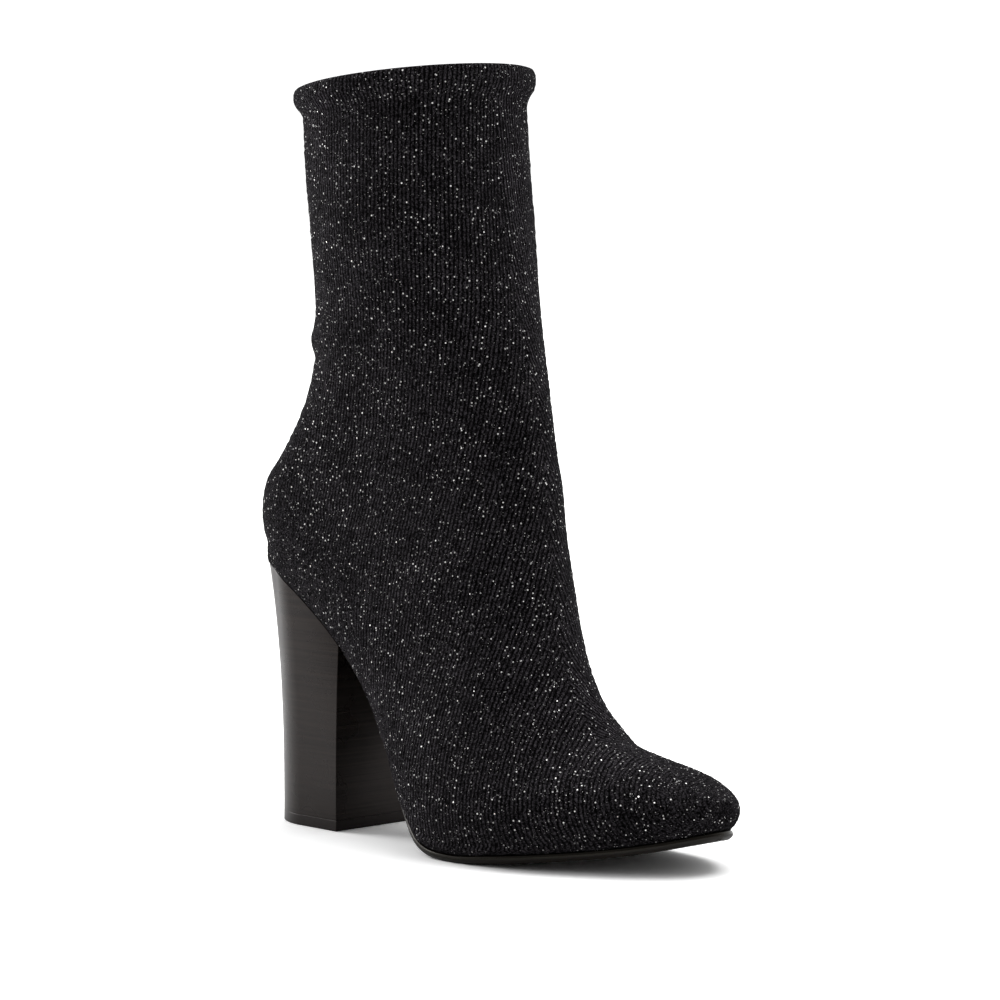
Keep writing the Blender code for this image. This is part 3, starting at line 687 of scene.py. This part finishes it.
count, spots = len(rings), len(rings[0])
profile = [row[2] for row in EDGE_PROFILE]
around = [max(profile[::-1][j], profile[::-1][j + 1]) for j in range(len(profile) - 1)] + [0]
around += [max(profile[j], profile[j + 1]) for j in range(len(profile) - 1)] + [1]

# Wax edge dressing over leather: near black, smooth, and glossy enough to mirror the floor softly
edge_black, tree, shader = new_material("polished edge dressing")
place = add_node(tree, "TexCoord").outputs["Object"]
scuff = add_node(tree, "TexNoise", {"Vector": place, "Scale": 180.0, "Detail": 4.0}).outputs["Fac"]
tone = {"Factor": scuff, 6: linear("#090705"), 7: linear("#13100c")}
tone = add_node(tree, "Mix", tone, data_type="RGBA").outputs[2]
tree.links.new(tone, shader.inputs["Base Color"])
rough = add_node(tree, "MapRange", {"Value": scuff, 1: 0.3, 2: 0.7, 3: 0.14, 4: 0.26}).outputs[0]
tree.links.new(rough, shader.inputs["Roughness"])
shader.inputs["Specular IOR Level"].default_value = 0.20
shader.inputs["Specular Tint"].default_value = linear("#fff6e6")
shader.inputs["Coat Weight"].default_value = 0.06
shader.inputs["Coat Roughness"].default_value = 0.06

# Stained sole leather: a warm brown-black with a dull, lightly scuffed face
tread_brown, tree, shader = new_material("brown black sole leather")
place = add_node(tree, "TexCoord").outputs["Object"]
scuff = add_node(tree, "TexNoise", {"Vector": place, "Scale": 320.0, "Detail": 4.0}).outputs["Fac"]
tone = {"Factor": scuff, 6: linear("#0f0c09"), 7: linear("#1c1711")}
tone = add_node(tree, "Mix", tone, data_type="RGBA").outputs[2]
tree.links.new(tone, shader.inputs["Base Color"])
worn = add_node(tree, "Bump", {"Height": scuff, "Distance": 0.0002, "Strength": 0.4}).outputs[0]
tree.links.new(worn, shader.inputs["Normal"])
shader.inputs["Roughness"].default_value = 0.45
shader.inputs["Specular IOR Level"].default_value = 0.25
chosen = [around[j] for _ in range(count - 1) for j in range(spots)] + [0] * (spots - 2)
flat_rings = [point for ring in rings for point in ring]
faces = loft_faces(count, spots)
outsole = make_piece("dressed_outsole", flat_rings, faces, [edge_black, tread_brown], chosen)
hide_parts("outsole")
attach(outsole, "root")

# The heel block
# Thin level lifts stacked to the seat and shaped with a round back and a flat breast. Stained a dark
# brown-grey and polished, it mirrors the studio softly, and the fine lines of the lifts run level round it.
HEEL_DEPTH = 0.0478
HEEL_HALF_WIDTH = 0.0285
HEEL_TIP_THICKNESS = 0.0038
HEEL_FLARE = 2.6
HEEL_LEVELS = 40
HEEL_BODY_CUTS = 24
HEEL_EDGE = 0.0002
LIFT = 0.0011


def heel_plan(back):
    """Places from the round back to the breast, and the share of the half width at each."""
    turn, share = heel_turn(back, HEEL_STATIONS)
    body = np.linspace(turn[-1], BREAST_AT, HEEL_BODY_CUTS + 1)[1:]
    return np.concatenate([turn, body]), np.concatenate([share, np.ones(HEEL_BODY_CUTS)])


def eased(piece, width):
    """Rounds the sharp edges of a piece, and keeps its flats flat."""
    bevel = piece.modifiers.new("eased edges", "BEVEL")
    bevel.width, bevel.segments = width, 3
    bevel.limit_method, bevel.angle_limit = "ANGLE", math.radians(50)
    bevel.harden_normals = True
    return piece


foot_x, shares = heel_plan(BREAST_AT - HEEL_DEPTH)
seat_x, _ = heel_plan(HEEL_OVERHANG)
heel_base = HEEL_TIP_THICKNESS + CLEARANCE
rings = []
for low_x, high_x, part in zip(foot_x, seat_x, shares):
    top_x, top_z = below(high_x, CLEARANCE)
    top_x = min(top_x, BREAST_AT)
    low_y, top_y = HEEL_HALF_WIDTH * part, underside(high_x)[2]
    side = []
    for up in np.linspace(0, 1, HEEL_LEVELS):
        flare = up**HEEL_FLARE
        out_x, out_y = low_x + (top_x - low_x) * flare, low_y + (top_y - low_y) * flare
        side.append((out_x, out_y, heel_base + (top_z - heel_base) * up))
    rings.append([(x, -y, z) for x, y, z in side] + side[::-1])

# Stacked leatherboard, stained and waxed: the lifts show as fine level lines under a soft polish
stacked_heel, tree, shader = new_material("stained and polished stacked heel")
place = add_node(tree, "TexCoord").outputs["Object"]
stretch = add_node(tree, "Mapping", {"Vector": place, "Scale": (14.0, 14.0, 1 / LIFT)}).outputs[0]
lines = add_node(tree, "TexNoise", {"Vector": stretch, "Scale": 1.0, "Detail": 3.0}).outputs["Fac"]
cloud = add_node(tree, "TexNoise", {"Vector": place, "Scale": 45.0, "Detail": 3.0}).outputs["Fac"]
streaks = add_node(tree, "MapRange", {"Value": lines, 1: 0.3, 2: 0.7}).outputs[0]
tone = {"Factor": streaks, 6: linear("#040303"), 7: linear("#1b1613")}
tone = add_node(tree, "Mix", tone, data_type="RGBA").outputs[2]
tree.links.new(tone, shader.inputs["Base Color"])
lift_bump = add_node(tree, "Bump", {"Height": lines, "Distance": 0.00014, "Strength": 0.6}).outputs[0]
tree.links.new(lift_bump, shader.inputs["Normal"])
rough = add_node(tree, "MapRange", {"Value": cloud, 1: 0.3, 2: 0.7, 3: 0.24, 4: 0.34}).outputs[0]
tree.links.new(rough, shader.inputs["Roughness"])
shader.inputs["Specular IOR Level"].default_value = 0.23
shader.inputs["Specular Tint"].default_value = linear("#fff0ec")
shader.inputs["Coat Weight"].default_value = 0.02
shader.inputs["Coat Roughness"].default_value = 0.2
count, spots = len(rings), len(rings[0])
flat_rings = [point for ring in rings for point in ring]
heel_block = make_piece("stacked_heel", flat_rings, loft_faces(count, spots), [stacked_heel])
eased(heel_block, HEEL_EDGE)
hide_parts("heel_block")
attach(heel_block, "root")

# The top piece
# The wearing piece nailed under the block: hard rubber, cut to the block's outline and buffed with it
TIP_EDGE = 0.00015
NAILED_GAP = 0.00004
tip_top = heel_base - NAILED_GAP
rings = []
for x, part in zip(foot_x, shares):
    y = HEEL_HALF_WIDTH * part
    rings.append([(x, -y, 0), (x, -y, tip_top), (x, y, tip_top), (x, y, 0)])

# Dense heel rubber, buffed with the block: a dull near black with a little dust in its pores
tip_rubber, tree, shader = new_material("buffed heel rubber")
place = add_node(tree, "TexCoord").outputs["Object"]
dust = add_node(tree, "TexNoise", {"Vector": place, "Scale": 260.0, "Detail": 4.0}).outputs["Fac"]
tone = {"Factor": dust, 6: linear("#070505"), 7: linear("#151110")}
tone = add_node(tree, "Mix", tone, data_type="RGBA").outputs[2]
tree.links.new(tone, shader.inputs["Base Color"])
dust_bump = add_node(tree, "Bump", {"Height": dust, "Distance": 0.0001, "Strength": 0.4}).outputs[0]
tree.links.new(dust_bump, shader.inputs["Normal"])
shader.inputs["Roughness"].default_value = 0.32
shader.inputs["Specular IOR Level"].default_value = 0.25
shader.inputs["Specular Tint"].default_value = linear("#fff1ee")
count, spots = len(rings), len(rings[0])
flat_rings = [point for ring in rings for point in ring]
top_piece = make_piece("heel_top_piece", flat_rings, loft_faces(count, spots), [tip_rubber])
eased(top_piece, TIP_EDGE)
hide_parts("heel_tip")
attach(top_piece, "root")

# Floor, light and camera
# A plain pale floor under a broad soft light from above, in a white room that is darker on the camera's side,
# with a softbox on the left for the heel. The floor is light grey in the boot's reflections, and shows
# overexposed as a white sweep does.
FLOOR = "#d6d6d6"
FLOOR_HALF = 9
FLOOR_LEVEL = -0.0001
FLOOR_GAIN = 1.2
floor_finish, tree, shader = new_material("matt white floor")
shader.inputs["Base Color"].default_value = linear(FLOOR)
shader.inputs["Roughness"].default_value = 0.9
shader.inputs["Specular IOR Level"].default_value = 0.1
seen_first = add_node(tree, "LightPath").outputs["Is Camera Ray"]
bright_floor = add_node(tree, "BsdfDiffuse", {"Color": (FLOOR_GAIN,) * 3 + (1.0,)}).outputs[0]
shown = add_node(tree, "MixShader", {0: seen_first, 1: shader.outputs[0], 2: bright_floor}).outputs[0]
tree.links.new(shown, tree.nodes["Material Output"].inputs["Surface"])
mesh = bpy.data.meshes.new("floor")
corners = [(x * FLOOR_HALF, y * FLOOR_HALF, FLOOR_LEVEL) for x, y in ((-1, -1), (1, -1), (1, 1), (-1, 1))]
mesh.from_pydata(corners, [], [(0, 1, 2, 3)])
mesh.materials.append(floor_finish)
floor = bpy.data.objects.new("floor", mesh)
bpy.context.scene.collection.objects.link(floor)

TO_CAMERA = (0.725, -0.688, -0.10)
world = bpy.data.worlds.new("white studio")
world.use_nodes = True
room = world.node_tree
toward = add_node(room, "TexCoord").outputs["Generated"]
facing = add_node(room, "VectorMath", {0: toward, 1: TO_CAMERA}, operation="DOT_PRODUCT").outputs["Value"]
level = add_node(room, "MapRange", {"Value": facing, 1: -0.35, 2: 0.60, 3: 1.16, 4: 0.26}).outputs[0]
room.links.new(level, room.nodes["Background"].inputs["Strength"])
room.nodes["Background"].inputs["Color"].default_value = linear("#ffffff")
bpy.context.scene.world = world
bpy.context.scene.view_settings.view_transform = "Standard"

# Each light stands at spot and points at aim. across is a softbox's size, or the angle of a far light.
for name, kind, spot, aim, across, strength in (
    ("overhead light", "SUN", (0.02, 0.42, 1.28), (0, 0, 0), math.radians(45), 2.3),
    ("left softbox", "AREA", (-1.20, -0.35, 0.50), (0, 0, 0.12), 0.6, 12),
):
    light = bpy.data.lights.new(name, kind)
    light.energy = strength
    if kind == "SUN":
        light.angle = across
    else:
        light.size = across
    lamp = bpy.data.objects.new(name, light)
    lamp.location = spot
    x, y, z = np.subtract(spot, aim)
    lamp.rotation_euler = (math.atan2(math.hypot(x, y), z), 0, math.atan2(x, -y))
    bpy.context.scene.collection.objects.link(lamp)

# The camera stands 1.4 m off, low, and looks 46.5 degrees round to the front from the outer side
FRAME_PIXELS = 1000
LENS_PIXELS = 3650
CAMERA_AT = (1.1035, -0.9337, 0.235)
CAMERA_DOWN = 4.465
CAMERA_ROUND = 46.5
camera = bpy.data.cameras.new("camera")
camera.sensor_width = 36
camera.lens = LENS_PIXELS / FRAME_PIXELS * camera.sensor_width
eye = bpy.data.objects.new("camera", camera)
eye.location = np.array(CAMERA_AT) + SHIFT
eye.rotation_euler = (math.radians(90 - CAMERA_DOWN), 0, math.radians(CAMERA_ROUND))
bpy.context.scene.collection.objects.link(eye)
bpy.context.scene.camera = eye
